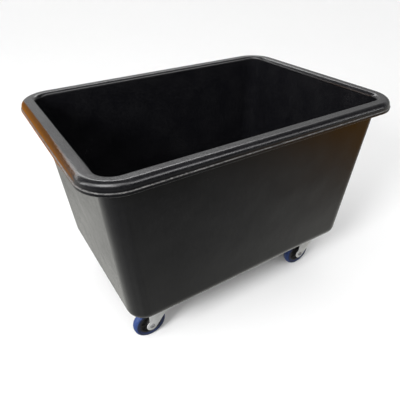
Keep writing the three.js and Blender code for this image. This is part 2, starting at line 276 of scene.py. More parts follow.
def blue_rubber(name, clean, dusted):
    nodes = material_nodes(name)
    nodes.set(IOR=PLASTIC_IOR, Specular_IOR_Level=0.42)
    dust = nodes.noise(60.0, 4.0, 0.65)
    dusty = nodes.remap(dust, 0.45, 0.75, 0.0, 1.0)
    nodes.colour(nodes.mix(dusty, clean, dusted))
    nodes.rough(nodes.remap(dust, 0.3, 0.75, 0.46, 0.68))
    pores = nodes.noise(850.0, 2.0, 0.6)
    scrub = nodes.noise(130.0, 3.0, 0.6)
    nodes.bump((pores, 0.00015, 0.35), (scrub, 0.0005, 0.20))
    return nodes.material


def black_nylon():
    nodes = material_nodes("black_nylon")
    nodes.set(IOR=NYLON_IOR)
    cloud = nodes.noise(70.0, 3.0, 0.6)
    chalky = nodes.remap(cloud, 0.5, 0.75, 0.0, 1.0)
    nodes.colour(nodes.mix(chalky, (0.0080, 0.0080, 0.0082), (0.0170, 0.0170, 0.0170)))
    nodes.rough(nodes.remap(cloud, 0.3, 0.7, 0.38, 0.52))
    sparked = nodes.noise(1300.0, 2.0, 0.6)
    nodes.bump((sparked, 0.0001, 0.40))
    return nodes.material


POLYETHYLENE = polyethylene()
WHITENED_EDGE_AND_HIGHLIGHT = edge_whitening_and_highlight()
ZINC = zinc("zinc_plated_sheet", 0.88)
# A far darker copy of the zinc for the bolts, nuts, washers, kingpin and sleeve: the low tone is
# painted shade, standing in for the dark socket and the shade round the heads.
SHADE_DARKENED_ZINC = zinc("zinc_plated_bolts_painted_shade", 0.30, 1.03)
BEARING_STEEL = bearing_steel()
BLUE_RUBBER = blue_rubber("blue_elastic_rubber", (0.022, 0.050, 0.180), (0.050, 0.076, 0.175))
# A darker copy of the blue rubber for the tyre's side walls: painted shade, standing in for the
# shade that falls on the wheel's sides.
RUBBER_SIDE_PAINTED_SHADE = blue_rubber("blue_rubber_side_painted_shade", (0.011, 0.018, 0.052), (0.028, 0.032, 0.058))
BLACK_NYLON = black_nylon()


# ---- Mesh code -----------------------------------------------------------------


def shaded(mesh, sharp_degrees):
    mesh.polygons.foreach_set("use_smooth", [True] * len(mesh.polygons))
    mesh.set_sharp_from_angle(angle=math.radians(sharp_degrees))


def new_object(name, verts, faces, material, sharp_degrees=SHARP):
    mesh = bpy.data.meshes.new(name)
    mesh.from_pydata([tuple(map(float, v)) for v in verts], [], faces)
    shape = bmesh.new()
    shape.from_mesh(mesh)
    bmesh.ops.recalc_face_normals(shape, faces=shape.faces)
    shape.to_mesh(mesh)
    shape.free()
    mesh.materials.append(material)
    shaded(mesh, sharp_degrees)
    made = bpy.data.objects.new(name, mesh)
    bpy.context.scene.collection.objects.link(made)
    return made


def bake(made):
    """Applies an object's modifiers to its mesh."""
    bpy.context.view_layer.update()
    graph = bpy.context.evaluated_depsgraph_get()
    mesh = bpy.data.meshes.new_from_object(made.evaluated_get(graph))
    made.modifiers.clear()
    made.data = mesh
    shaded(mesh, SHARP)


def cut(made, *cutters):
    for cutter in cutters:
        modifier = made.modifiers.new("cut", "BOOLEAN")
        modifier.operation = "DIFFERENCE"
        modifier.solver = "EXACT"
        modifier.object = cutter
    bake(made)
    for cutter in cutters:
        bpy.data.objects.remove(cutter)


def joined(name, pieces, material):
    """One object from several (verts, faces) parts."""
    verts, faces = [], []
    for part_verts, part_faces in pieces:
        start = len(verts)
        verts.extend(part_verts)
        faces.extend([tuple(start + i for i in face) for face in part_faces])
    return new_object(name, verts, faces, material)


def moved(part, x=0.0, y=0.0, z=0.0):
    verts, faces = part
    return [(v[0] + x, v[1] + y, v[2] + z) for v in verts], faces


def turned_to_axle(part):
    """Lays a part that is turned about Z along Y, its low end towards -Y."""
    verts, faces = part
    return [(v[0], v[2], -v[1]) for v in verts], faces


def rounded_path(corners, closed=True, steps=4):
    """Rounds a 2-D path. Each corner is (x, y, radius)."""
    count = len(corners)
    path = []
    for i, (x, y, radius) in enumerate(corners):
        inner = closed or 0 < i < count - 1
        if radius <= 0 or not inner:
            path.append((x, y))
            continue
        here = Vector((x, y))
        before = (Vector(corners[i - 1][:2]) - here).normalized()
        after = (Vector(corners[(i + 1) % count][:2]) - here).normalized()
        half = before.angle(after) / 2
        reach = radius / math.tan(half)
        centre = here + (before + after).normalized() * (radius / math.sin(half))
        start = here + before * reach - centre
        end = here + after * reach - centre
        turn = start.angle_signed(end)
        for step in range(steps + 1):
            path.append(tuple(centre + spun(start, -turn * step / steps)))
    return path


def spun(vector, angle):
    c, s = math.cos(angle), math.sin(angle)
    return Vector((c * vector.x - s * vector.y, s * vector.x + c * vector.y))


def lathe(profile, steps=48):
    """Turns an anticlockwise profile of (radius, z) about Z. A profile starts and
    ends on the axis, or else it is closed."""
    verts, rings = [], []
    for radius, z in profile:
        if radius < 1e-9:
            rings.append([len(verts)])
            verts.append((0.0, 0.0, z))
            continue
        rings.append(list(range(len(verts), len(verts) + steps)))
        for step in range(steps):
            angle = FULL_TURN * step / steps
            verts.append((radius * math.cos(angle), radius * math.sin(angle), z))
    pairs = list(zip(rings, rings[1:]))
    if len(rings[0]) > 1:
        pairs.append((rings[-1], rings[0]))
    return verts, ring_faces(pairs, steps)


def ring_faces(pairs, steps):
    faces = []
    for low, high in pairs:
        for i in range(steps):
            j = (i + 1) % steps
            corners = [low[i % len(low)], low[j % len(low)]]
            corners += [high[j % len(high)], high[i % len(high)]]
            face = tuple(dict.fromkeys(corners))
            if len(face) > 2:
                faces.append(face)
    return faces


def loft(rings, ends="closed"):
    """Joins equal rings of points. ends is closed, for a ring of rings, or capped."""
    steps = len(rings[0])
    verts = [point for ring in rings for point in ring]
    index = [list(range(k * steps, (k + 1) * steps)) for k in range(len(rings))]
    pairs = list(zip(index, index[1:]))
    if ends == "closed":
        pairs.append((index[-1], index[0]))
    faces = ring_faces(pairs, steps)
    if ends == "capped":
        faces.append(tuple(reversed(index[0])))
        faces.append(tuple(index[-1]))
    return verts, faces


def arc_angles(steps):
    return [k / steps * RIGHT_ANGLE for k in range(steps + 1)]


def circle(radius, z, angles):
    return [(radius * math.cos(a), radius * math.sin(a), z) for a in angles]


def hexagon_reach(angle, across):
    """Distance from a hexagon's middle to its edge. A corner lies on +X."""
    within = (angle % (math.pi / 3)) - math.pi / 6
    return across / 2 / math.cos(within)


def nut(bore, across, bottom, top, collar=0.0):
    """A hexagon nut with chamfered ends, and a round collar on top if one is given."""
    steps = 72
    angles = [FULL_TURN * i / steps for i in range(steps)]
    flat_share, chamfer_degrees = 0.96, 30
    face = across / 2 * flat_share
    slope = math.tan(math.radians(chamfer_degrees))
    top_of_hexagon = top - collar

    def edge(z, sign):
        ring = []
        for a in angles:
            reach = hexagon_reach(a, across)
            drop = (reach - face) * slope
            ring.append((reach * math.cos(a), reach * math.sin(a), z + sign * drop))
        return ring

    chamfer = 0.5
    rings = [
        circle(bore + chamfer, bottom, angles),
        circle(face, bottom, angles),
        edge(bottom, 1),
        edge(top_of_hexagon, -1),
        circle(face, top_of_hexagon, angles),
    ]
    if collar:
        rings += [
            circle(face - 0.2, top_of_hexagon + 0.15, angles),
            circle(face - 0.4, top - 0.9, angles),
            circle(face - 1.3, top, angles),
        ]
    rings += [
        circle(bore + chamfer, top, angles),
        circle(bore, top - chamfer, angles),
        circle(bore, bottom + chamfer, angles),
    ]
    return loft(rings)


def thread(radius, bottom, top, pitch):
    """The profile of a threaded length, as fine ridges, from bottom to top."""
    count = max(1, int((top - bottom) / pitch))
    depth = 0.45 * pitch
    profile = []
    for k in range(count):
        z = bottom + k * pitch
        profile.append((radius - depth, z + 0.1 * pitch))
        profile.append((radius, z + 0.45 * pitch))
        profile.append((radius, z + 0.65 * pitch))
    profile.append((radius - depth, bottom + count * pitch))
    return profile


def rounded_rectangle(half_x, half_y, radius, steps, along_x, along_y):
    """Points of a rounded rectangle, anticlockwise: each corner's arc, then the
    straight to the next one."""
    centre_x, centre_y = half_x - radius, half_y - radius
    signs = ((1, 1), (-1, 1), (-1, -1), (1, -1))
    points = []
    for corner, (sign_x, sign_y) in enumerate(signs):
        arc = [
            (
                sign_x * centre_x + radius * math.cos((corner + k / steps) * RIGHT_ANGLE),
                sign_y * centre_y + radius * math.sin((corner + k / steps) * RIGHT_ANGLE),
            )
            for k in range(steps + 1)
        ]
        points += arc
        after = signs[(corner + 1) % 4]
        turn = (corner + 1) * RIGHT_ANGLE
        start = Vector(arc[-1])
        end = Vector(
            (
                after[0] * centre_x + radius * math.cos(turn),
                after[1] * centre_y + radius * math.sin(turn),
            )
        )
        count = along_x if corner % 2 == 0 else along_y
        for k in range(1, count):
            points.append(tuple(start.lerp(end, k / count)))
    return points


# ---- Tub ---------------------------------------------------------------------------

tub_low, tub_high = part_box("tub_shell")
RIM_TOP = tub_high.z
TUB_BOTTOM = tub_low.z
RIM_HALF_X = tub_high.x
RIM_HALF_Y = tub_high.y
RIM_CORNER = 116 * MM
RIM_DEPTH = 34 * MM
RIM_FACE_INSET = 3.5 * MM
RIM_EDGE_ROUND = 20 * MM
RIM_INNER_ROUND = 14 * MM
LIP_HEIGHT = 9 * MM
SKIRT = 5.5 * MM
WALL = 6 * MM
OVERHANG = 49 * MM
END_DRAFT = 42 * MM
SIDE_DRAFT = 31 * MM
CORNER_TOP = 58 * MM
CORNER_BOTTOM = 67 * MM
FLOOR_FILLET = 48 * MM
# Points on a ring of the tub: to a corner, along its length, across its width.
RING_STEPS = (20, 96, 66)
MOULDING_WAVE = 1.1 * MM
TRIM_INWARD = 0.35 * MM
TRIM_UPWARD = 0.5 * MM


def tub_ring(inset_x, inset_y, corner, z):
    outline = rounded_rectangle(
        RIM_HALF_X - inset_x, RIM_HALF_Y - inset_y, corner, *RING_STEPS
    )
    return [(x, y, z) for x, y in outline]


def rim_ring(inset, z):
    return tub_ring(inset, inset, RIM_CORNER - inset, z)


def wall_top_ring(inset, z):
    """A ring whose corner follows the wall's top corner, offset outwards."""
    return tub_ring(inset, inset, CORNER_TOP + OVERHANG - inset, z)


def wall_rings(thickness):
    """Rings from the floor's edge up the wall. The fillet and both faces share centres."""
    fillet_z = TUB_BOTTOM + FLOOR_FILLET
    fillet = FLOOR_FILLET - thickness
    centre_x = OVERHANG + END_DRAFT + FLOOR_FILLET
    centre_y = OVERHANG + SIDE_DRAFT + FLOOR_FILLET
    corner = CORNER_BOTTOM - FLOOR_FILLET
    rings = []
    for angle in arc_angles(12):
        reach = fillet * math.sin(angle)
        z = fillet_z - fillet * math.cos(angle)
        rings.append(tub_ring(centre_x - reach, centre_y - reach, corner + reach, z))
    levels = 22
    top_z = RIM_TOP - RIM_INNER_ROUND
    top_inset = OVERHANG + thickness
    for k in range(1, levels + 1):
        t = k / levels
        z = fillet_z + t * (top_z - fillet_z)
        inset_x = (1 - t) * (centre_x - fillet) + t * top_inset
        inset_y = (1 - t) * (centre_y - fillet) + t * top_inset
        radius = (1 - t) * CORNER_BOTTOM + t * CORNER_TOP - thickness
        rings.append(tub_ring(inset_x, inset_y, radius, z))
    return rings


def rim_rings():
    """Rings from the wall's outer face, round the rim, to its inner face, and the
    numbers of those on the lip's two trimmed edges."""
    edge = RIM_FACE_INSET + RIM_EDGE_ROUND
    inner_edge = OVERHANG + WALL - RIM_INNER_ROUND
    skirt_inner = RIM_FACE_INSET + SKIRT
    lip_bottom = RIM_TOP - RIM_DEPTH
    lip_top = lip_bottom + LIP_HEIGHT
    rings = []
    for angle in arc_angles(6)[1:]:
        inner = RIM_INNER_ROUND - WALL
        z = RIM_TOP - RIM_INNER_ROUND + inner * math.sin(angle)
        rings.append(wall_top_ring(inner_edge + inner * math.cos(angle), z))
    for angle in arc_angles(8):
        z = RIM_TOP - RIM_EDGE_ROUND + (RIM_EDGE_ROUND - WALL) * math.cos(angle)
        rings.append(rim_ring(edge - (edge - skirt_inner) * math.sin(angle), z))
    corners = [
        (skirt_inner, RIM_TOP - RIM_EDGE_ROUND, 0),
        (skirt_inner, lip_bottom, 1.2 * MM),
        (0.0, lip_bottom, 1.1 * MM),
        (0.0, lip_top, 1.1 * MM),
        (RIM_FACE_INSET, lip_top + 0.6 * MM, 1.2 * MM),
        (RIM_FACE_INSET, RIM_TOP - RIM_EDGE_ROUND, 0),
    ]
    trimmed_rings = []
    for inset, z in rounded_path(corners, closed=False, steps=5)[1:]:
        if inset < RIM_FACE_INSET and (z < lip_bottom + 1.3 * MM or z > lip_top - 0.6 * MM):
            trimmed_rings.append(len(rings))
        rings.append(rim_ring(inset, z))
    for angle in arc_angles(16)[1:]:
        inset = edge - RIM_EDGE_ROUND * math.cos(angle)
        rings.append(rim_ring(inset, RIM_TOP - RIM_EDGE_ROUND * (1 - math.sin(angle))))
    for t in (0.12, 0.5, 0.88):
        inset = (1 - t) * edge + t * inner_edge
        corner = (1 - t) * (RIM_CORNER - edge) + t * (CORNER_TOP + OVERHANG - inner_edge)
        rings.append(tub_ring(inset, inset, corner, RIM_TOP))
    for angle in arc_angles(12)[:-1]:
        z = RIM_TOP - RIM_INNER_ROUND * (1 - math.cos(angle))
        rings.append(wall_top_ring(inner_edge + RIM_INNER_ROUND * math.sin(angle), z))
    return rings, trimmed_rings


def wavy(point):
    """Moves a point of the wall by the slight unevenness that moulding leaves."""
    x, y, z = point
    height = (z - TUB_BOTTOM) / (RIM_TOP - RIM_DEPTH - TUB_BOTTOM)
    fade = math.sin(math.pi * min(max(height, 0.0), 1.0)) ** 0.5
    wave = noise.noise(Vector((x * 3.1, y * 3.1, z * 4.2)))
    wave += 0.35 * noise.noise(Vector((x * 9.0, y * 9.0, z * 11.0)))
    push = MOULDING_WAVE * fade * wave
    if abs(x) / RIM_HALF_X > abs(y) / RIM_HALF_Y:
        return (x + math.copysign(push, x), y, z)
    return (x, y + math.copysign(push, y), z)


def trimmed(point):
    """Moves a point of the lip inwards and up, as an edge trimmed by hand."""
    x, y, z = point
    nick = noise.noise(Vector((x * 70.0, y * 70.0, z * 40.0)))
    nick += 0.6 * noise.noise(Vector((x * 190.0, y * 190.0, z * 90.0)))
    inward = TRIM_INWARD * abs(nick)
    middle = Vector((x, y)) * (1 - inward / Vector((x, y)).length)
    return (middle.x, middle.y, z + TRIM_UPWARD * max(nick, 0.0))


def tub():
    outside = wall_rings(0.0)
    rim, trimmed_rings = rim_rings()
    start = len(outside)
    edges = {start + k for k in trimmed_rings}
    rings = outside + rim + wall_rings(WALL)[::-1]
    for k, ring in enumerate(rings):
        move = trimmed if k in edges else wavy
        rings[k] = [move(point) for point in ring]
    verts, faces = loft(rings, "capped")
    made = new_object("tub_moulding", verts, faces, POLYETHYLENE, TUB_SHARP)
    # The lip's edge faces take the lighter material: partly real whitening, partly a painted
    # highlight.
    made.data.materials.append(WHITENED_EDGE_AND_HIGHLIGHT)
    steps = len(rings[0])
    for face in made.data.polygons:
        if all(i // steps in edges for i in face.vertices):
            face.material_index = 1
    return made


# ---- Castor shapes -------------------------------------------------------------
#
# Millimetres, about the swivel axis, on the ground, with the wheel trailing
# towards -X. place_castor() turns each one to its corner and to metres.

swivel_at = Vector(joints["swivel_rear_right"]["pos_m"]) / MM
axle_at = Vector(joints["wheel_rear_right"]["pos_m"]) / MM
plate_low, plate_high = (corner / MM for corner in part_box("top_plate_rear_right"))
stud_low, stud_high = (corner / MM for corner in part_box("stud_plate_rear_right"))
pin_low, pin_high = (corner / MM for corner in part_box("kingpin_rear_right"))
pin_nut_low, pin_nut_high = (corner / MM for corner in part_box("kingpin_nut_rear_right"))
lower_low, lower_high = (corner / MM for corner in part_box("lower_race_rear_right"))
balls_low, balls_high = (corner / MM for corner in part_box("ball_ring_rear_right"))
bolt_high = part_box("axle_bolt_rear_right")[1] / MM

TRAIL = swivel_at.x - axle_at.x
AXLE_Z = axle_at.z
CROWN_TOP = swivel_at.z
SHEET = 3.0
FORK_OUTER = 27.0
FORK_INNER = FORK_OUTER - SHEET
SHEET_EDGE = 0.8
CROWN_RADIUS = 38.0
CROWN_BEND = 8.0
SHOULDER_FROM = 127.0
LOBE = 21.0
LEG_REAR = 42.0
LEG_FRONT = 36.0
LEG_FRONT_FROM = 118.4
FOOT_X, FOOT_Z = 16.6, 12.9
PLATE_SHEET = 3.5
PLATE_HALF_X, PLATE_HALF_Y = 52.5, 40.0
PLATE_CORNER = 8
PLATE_STEPS = (7, 18, 14)
STUD_PLATE_HALF_X, STUD_PLATE_HALF_Y = 55, 40
STUD_PLATE_STEPS = (7, 4, 4)
PLATE_TOP = plate_high.z
PLATE_BOTTOM = PLATE_TOP - PLATE_SHEET
DISH = 31.0
DISH_WEB = CROWN_TOP + 9.8
HOLE_X, HOLE_Y = 40.0, 30.0
STUD = 4.0
STUD_NUT_ACROSS, STUD_NUT_HEIGHT = 13.0, 6.5
WASHER_RADIUS, WASHER_SHEET = 8.0, 1.6
PIN = 6.0
PIN_HEAD = 12.0
PIN_NUT_ACROSS = 19.0
AXLE = 5.0
AXLE_NUT_ACROSS = 17.0
AXLE_NUT_FROM, AXLE_NUT_TO = 27.3, 35.3
LOCKING_COLLAR = 2.4
BOLT_HEAD_FROM = -27.3
BOLT_SOCKET_ACROSS = 6.0
HUB_LENGTH_HALF = 21
FLOOR_TOP = stud_high.z - 7.5


def leg_edges(z):
    """A leg's rear and front edges at a height."""
    reach = math.sqrt(max(LOBE**2 - (z - AXLE_Z) ** 2, 0.0))
    upright_from = AXLE_Z + math.sqrt(LOBE**2 - (LEG_REAR - TRAIL) ** 2)
    rear = -LEG_REAR if z > upright_from else -TRAIL - reach
    foot_x, foot_z = -TRAIL + FOOT_X, AXLE_Z - FOOT_Z
    if z < foot_z:
        front = -TRAIL + reach
    else:
        slant = (z - foot_z) * (LEG_FRONT - foot_x) / (LEG_FRONT_FROM - foot_z)
        front = min(foot_x + slant, LEG_FRONT)
    over = min(max((z - SHOULDER_FROM) / (CROWN_TOP - SHOULDER_FROM), 0.0), 1.0)
    shrink = 1 - math.sqrt(1 - over**2)
    return rear + 12.0 * shrink, front - 8.0 * shrink


def fork_row(y, z, normal_y, normal_z, rear, front):
    """A closed ring round the sheet's edge-to-edge section at one place on its path."""
    half, edge = SHEET / 2, min(SHEET_EDGE, (front - rear) / 4)
    section = rounded_path(
        [(rear, -half, edge), (front, -half, edge), (front, half, edge), (rear, half, edge)],
        steps=3,
    )
    return [(x, y + t * normal_y, z + t * normal_z) for x, t in section]


def fork():
    """The pressed fork: up one leg, over the crown, and down the other leg."""
    middle = FORK_OUTER - SHEET / 2
    bend = CROWN_BEND - SHEET / 2
    bend_z = CROWN_TOP - SHEET / 2 - bend
    sole = 0.12
    rows = []
    for k in range(34):
        share = 1 - math.cos(k / 33 * RIGHT_ANGLE)
        z = AXLE_Z - LOBE + sole + share * (bend_z - AXLE_Z + LOBE - sole)
        rows.append((middle, z, 1.0, 0.0, *leg_edges(z)))
    for k in range(1, 8):
        angle = k / 7 * RIGHT_ANGLE
        y = middle - bend + bend * math.cos(angle)
        z = bend_z + bend * math.sin(angle)
        rear, front = leg_edges(z + SHEET / 2 * math.sin(angle))
        crown = math.sqrt(CROWN_RADIUS**2 - y**2)
        rear, front = min(rear, -crown), max(front, crown)
        rows.append((y, z, math.cos(angle), math.sin(angle), rear, front))
    flat = middle - bend
    for k in range(1, 7):
        y = flat * (1 - k / 6)
        crown = math.sqrt(CROWN_RADIUS**2 - y**2)
        rows.append((y, bend_z + bend, 0.0, 1.0, -crown, crown))
    mirrored = [(-y, z, -ny, nz, r, f) for y, z, ny, nz, r, f in reversed(rows[:-1])]
    rings = [fork_row(*row) for row in rows + mirrored]
    return loft(rings, "capped")


def crown_race():
    """The raised ball track that is pressed up round the middle of the fork's crown."""
    low, high = CROWN_TOP - 0.4, CROWN_TOP + 3.2
    inner, outer = 16, 27.2
    profile = rounded_path(
        [(inner, low, 0), (outer, low, 0), (outer, high, 1.4), (24.4, high, 0.5)]
    )
    groove = [(24.0, high), (22.0, high - 0.9), (20.0, high)]
    rest = rounded_path(
        [(outer, low, 0), (19.6, high, 0.5), (inner, high, 1.4), (inner, low, 0)]
    )
    return lathe(profile[:-1] + groove + rest[1:-1], 72)


def top_plate():
    """The castor's plate, from its round hole out to its edge and back below."""
    outline = rounded_rectangle(PLATE_HALF_X, PLATE_HALF_Y, PLATE_CORNER, *PLATE_STEPS)
    angles = [math.atan2(y, x) for x, y in outline]

    def ring(radius, z):
        return circle(radius, z, angles)

    def sheet_ring(inset, z):
        edge = rounded_rectangle(
            PLATE_HALF_X - inset, PLATE_HALF_Y - inset, PLATE_CORNER - inset, *PLATE_STEPS
        )
        return [(x, y, z) for x, y in edge]

    web_top = DISH_WEB + PLATE_SHEET
    inner = DISH - 3.0
    rings = [ring(PIN + 0.4, DISH_WEB), ring(PIN + 0.4, web_top), ring(21.5, web_top)]
    rings += [ring(24.6, web_top + 0.5), ring(26.6, web_top + 2.0), ring(27.8, PLATE_TOP - 1.2)]
    rings += [ring(29.4, PLATE_TOP - 0.2), ring(31.0, PLATE_TOP)]
    rings += [sheet_ring(0.9, PLATE_TOP), sheet_ring(0.25, PLATE_TOP - 0.25)]
    rings += [sheet_ring(0.0, PLATE_TOP - 0.9), sheet_ring(0.0, PLATE_BOTTOM + 0.9)]
    rings += [sheet_ring(0.25, PLATE_BOTTOM + 0.25), sheet_ring(0.9, PLATE_BOTTOM)]
    rings += [ring(33.0, PLATE_BOTTOM), ring(31.6, PLATE_BOTTOM - 0.5)]
    rings += [ring(DISH, PLATE_BOTTOM - 1.8)]
    rings += [ring(DISH, plate_low.z + 0.9), ring(DISH - 0.9, plate_low.z)]
    rings += [ring(inner + 0.9, plate_low.z), ring(inner, plate_low.z + 0.9)]
    rings += [ring(inner, DISH_WEB - 1.2), ring(inner - 1.2, DISH_WEB)]
    return loft(rings)


def kingpin():
    seat = pin_high.z - 3.8
    profile = [(0, pin_low.z), (PIN - 1.4, pin_low.z)]
    profile += thread(PIN, pin_low.z + 1.2, lower_high.z - 2.0, 1.5)
    profile += [(PIN, lower_high.z - 1.0), (PIN, seat), (11.6, seat), (PIN_HEAD, seat + 0.5)]
    profile += [(PIN_HEAD, pin_high.z - 1.6), (11.4, pin_high.z - 0.5)]
    profile += [(9.6, pin_high.z), (0, pin_high.z)]
    return lathe(profile, 48)


def lower_race():
    corners = [
        (PIN + 0.3, lower_low.z, 0.3),
        (12.6, lower_low.z, 1.2),
        (16.9, lower_high.z - 0.8, 0.6),
        (16.9, lower_high.z, 0.3),
        (PIN + 0.3, lower_high.z, 0.3),
    ]
    return lathe(rounded_path(corners), 60)


def ball(x, y, z, radius):
    profile = [
        (radius * math.sin(k / 8 * math.pi), -radius * math.cos(k / 8 * math.pi))
        for k in range(9)
    ]
    profile[0], profile[-1] = (0.0, -radius), (0.0, radius)
    return moved(lathe(profile, 14), x, y, z)


def balls():
    radius, track = 3.0, 22.0
    z = (balls_low.z + balls_high.z) / 2
    count = 20
    return [
        ball(track * math.cos(a), track * math.sin(a), z, radius)
        for a in (k * FULL_TURN / count for k in range(count))
    ]


def axle_bolt():
    """A button-head bolt with a hexagon socket, head towards -Y."""
    steps = 72
    angles = [k * FULL_TURN / steps for k in range(steps)]
    head = BOLT_HEAD_FROM
    end = head - 5.0
    socket = [(hexagon_reach(a, BOLT_SOCKET_ACROSS), a) for a in angles]

    def hexagon(z, grow=0.0):
        return [((r + grow) * math.cos(a), (r + grow) * math.sin(a), z) for r, a in socket]

    rings = [hexagon(end + 4.4), hexagon(end + 0.3), hexagon(end, 0.4)]
    rings.append(circle(5.0, end + 0.1, angles))
    for k in range(1, 9):
        angle = (0.33 + 0.67 * k / 8) * RIGHT_ANGLE
        rings.append(circle(9.5 * math.sin(angle), head - 0.9 - 4.1 * math.cos(angle), angles))
    rings += [circle(9.3, head - 0.2, angles), circle(9.0, head, angles)]
    rings += [circle(AXLE, head, angles), circle(AXLE, FORK_OUTER, angles)]
    tip = bolt_high.y - swivel_at.y
    rings += [circle(r, z, angles) for r, z in thread(AXLE, FORK_OUTER + 0.4, tip - 0.9, 1.5)]
    rings += [circle(4.2, tip - 0.6, angles), circle(3.7, tip, angles)]
    return on_axle(loft(rings, "capped"))


def on_axle(part):
    return moved(turned_to_axle(part), -TRAIL, 0.0, AXLE_Z)


def axle_nut():
    shape = nut(AXLE + 0.1, AXLE_NUT_ACROSS, AXLE_NUT_FROM, AXLE_NUT_TO, LOCKING_COLLAR)
    return on_axle(shape)


def axle_sleeve():
    half = FORK_INNER - 0.3
    corners = [(5.3, -half, 0.3), (8, -half, 0.5), (8, half, 0.5), (5.3, half, 0.3)]
    return on_axle(lathe(rounded_path(corners), 40))


def roller_bearing():
    """Two end rings and twelve rollers between them."""
    half = 20.0
    parts = []
    for end in (-half, half - 1.6):
        corners = [(8.4, end, 0.3), (11.6, end, 0.3), (11.6, end + 1.6, 0.3), (8.4, end + 1.6, 0.3)]
        parts.append(lathe(rounded_path(corners, steps=2), 48))
    for k in range(12):
        angle = k * FULL_TURN / 12
        profile = [(0, -half + 1.4), (1.3, -half + 1.4), (1.3, half - 1.4), (0, half - 1.4)]
        x, y = 10.0 * math.cos(angle), 10.0 * math.sin(angle)
        parts.append(moved(lathe(profile, 14), x, y))
    return [on_axle(part) for part in parts]


def wheel_centre():
    rim = 43.85
    corners = [
        (12, -HUB_LENGTH_HALF, 0.6),
        (18.6, -HUB_LENGTH_HALF, 1.2),
        (20.6, -6, 3.0),
        (36.0, -6, 3.0),
        (38.0, -13.4, 0.6),
        (39.0, -14, 0.5),
        (rim, -14, 0.7),
        (rim, 14, 0.7),
        (39.0, 14, 0.5),
        (38.0, 13.4, 0.6),
        (36.0, 6, 3.0),
        (20.6, 6, 3.0),
        (18.6, HUB_LENGTH_HALF, 1.2),
        (12, HUB_LENGTH_HALF, 0.6),
    ]
    return on_axle(lathe(rounded_path(corners), 84))


def centre_rib(angle, side):
    """One of the wheel centre's radial ribs, sunk into its web, hub and rim."""
    rings = []
    for radius, high in ((17.5, 11.5), (22.0, 11.0), (34.0, 9.6), (39.5, 10.4)):
        section = [(-1.9, 4.0), (1.9, 4.0), (1.2, high), (-1.2, high)]
        rings.append([(radius, across, side * up) for across, up in section])
    verts, faces = loft(rings, "capped")
    if side < 0:
        faces = [tuple(reversed(face)) for face in faces]
    c, s = math.cos(angle), math.sin(angle)
    verts = [(c * x - s * y, s * x + c * y, z) for x, y, z in verts]
    return on_axle((verts, faces))


def tyre():
    tread = AXLE_Z
    half = 15.5
    corners = [
        (44.15, -half + 1.4, 0.4),
        (46.4, -half + 1.2, 1.2),
        (48.0, -half, 1.5),
        (54.0, -half + 0.3, 5.0),
        (60.4, -half + 5.0, 6.0),
        (tread - 0.35, -4.5, 4.0),
        (tread - 0.25, -0.7, 0.2),
        (tread, -0.4, 0.1),
        (tread, 0.4, 0.1),
        (tread - 0.25, 0.7, 0.2),
        (tread - 0.35, 4.5, 4.0),
        (60.4, half - 5.0, 6.0),
        (54.0, half - 0.3, 5.0),
        (48.0, half, 1.5),
        (46.4, half - 1.2, 1.2),
        (44.15, half - 1.4, 0.4),
    ]
    return on_axle(lathe(rounded_path(corners, steps=5), 128))


def stud_points():
    return [(sx * HOLE_X, sy * HOLE_Y) for sx, sy in ((1, 1), (-1, 1), (-1, -1), (1, -1))]


def stud_plate():
    """A plate with rounded edges, four round heads on it and the studs below them."""
    bottom, top = FLOOR_TOP, FLOOR_TOP + PLATE_SHEET

    def ring(inset, z):
        half_x, half_y = STUD_PLATE_HALF_X - inset, STUD_PLATE_HALF_Y - inset
        outline = rounded_rectangle(half_x, half_y, PLATE_CORNER - inset, *STUD_PLATE_STEPS)
        return [(x, y, z) for x, y in outline]

    levels = [(0.7, bottom), (0.2, bottom + 0.2), (0, bottom + 0.7)]
    levels += [(0, top - 0.7), (0.2, top - 0.2), (0.7, top)]
    parts = [loft([ring(*level) for level in levels], "capped")]
    head = [(8.5 * math.cos(a), top + 0.9 + 3.1 * math.sin(a)) for a in arc_angles(7)]
    head[-1] = (0.0, head[-1][1])
    profile = [(0, stud_low.z), (STUD - 0.9, stud_low.z)]
    profile += thread(STUD, stud_low.z + 0.8, PLATE_BOTTOM, 1.25)
    profile += [(STUD, PLATE_BOTTOM + 0.8), (STUD, top - 0.5), (8.2, top - 0.5), (8.5, top + 0.3)]
    for x, y in stud_points():
        parts.append(moved(lathe(profile + head, 32), x, y))
    return parts


def castor_nuts():
    top = PLATE_BOTTOM - 2.0
    bottom = top - STUD_NUT_HEIGHT
    return [
        moved(nut(STUD + 0.1, STUD_NUT_ACROSS, bottom, top), x, y) for x, y in stud_points()
    ]


def castor_washers():
    top = PLATE_BOTTOM - 0.15
    bottom = top - WASHER_SHEET
    inner, outer = 4.3, WASHER_RADIUS
    corners = [(inner, bottom, 0.2), (outer, bottom, 0.4), (outer, top, 0.4), (inner, top, 0.2)]
    profile = rounded_path(corners, steps=2)
    return [moved(lathe(profile, 40), x, y) for x, y in stud_points()]


# ---- Pieces in place ---------------------------------------------------------------

tub_moulding = tub()
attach(tub_moulding, "tub")
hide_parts("tub_shell")


def hole(radius, x, y, low, high):
    """A cutter for a round hole along Z."""
    profile = [(0, low), (radius, low), (radius, high), (0, high)]
    return joined("hole", [moved(lathe(profile, 48), x, y)], ZINC)


def fork_piece():
    made = joined("fork", [fork()], ZINC)
    axle_hole = on_axle(lathe([(0, -30), (5.4, -30), (5.4, 30), (0, 30)], 48))
    cut(made, hole(7.0, 0, 0, 130, 150), joined("hole", [axle_hole], ZINC))
    race = joined("race", [crown_race()], ZINC)
    shape = bmesh.new()
    shape.from_mesh(made.data)
    shape.from_mesh(race.data)
    shape.to_mesh(made.data)
    shape.free()
    bpy.data.objects.remove(race)
    return made


def top_plate_piece():
    made = joined("top_plate", [top_plate()], ZINC)
    cut(made, *(hole(4.5, x, y, 140, 170) for x, y in stud_points()))
    return made


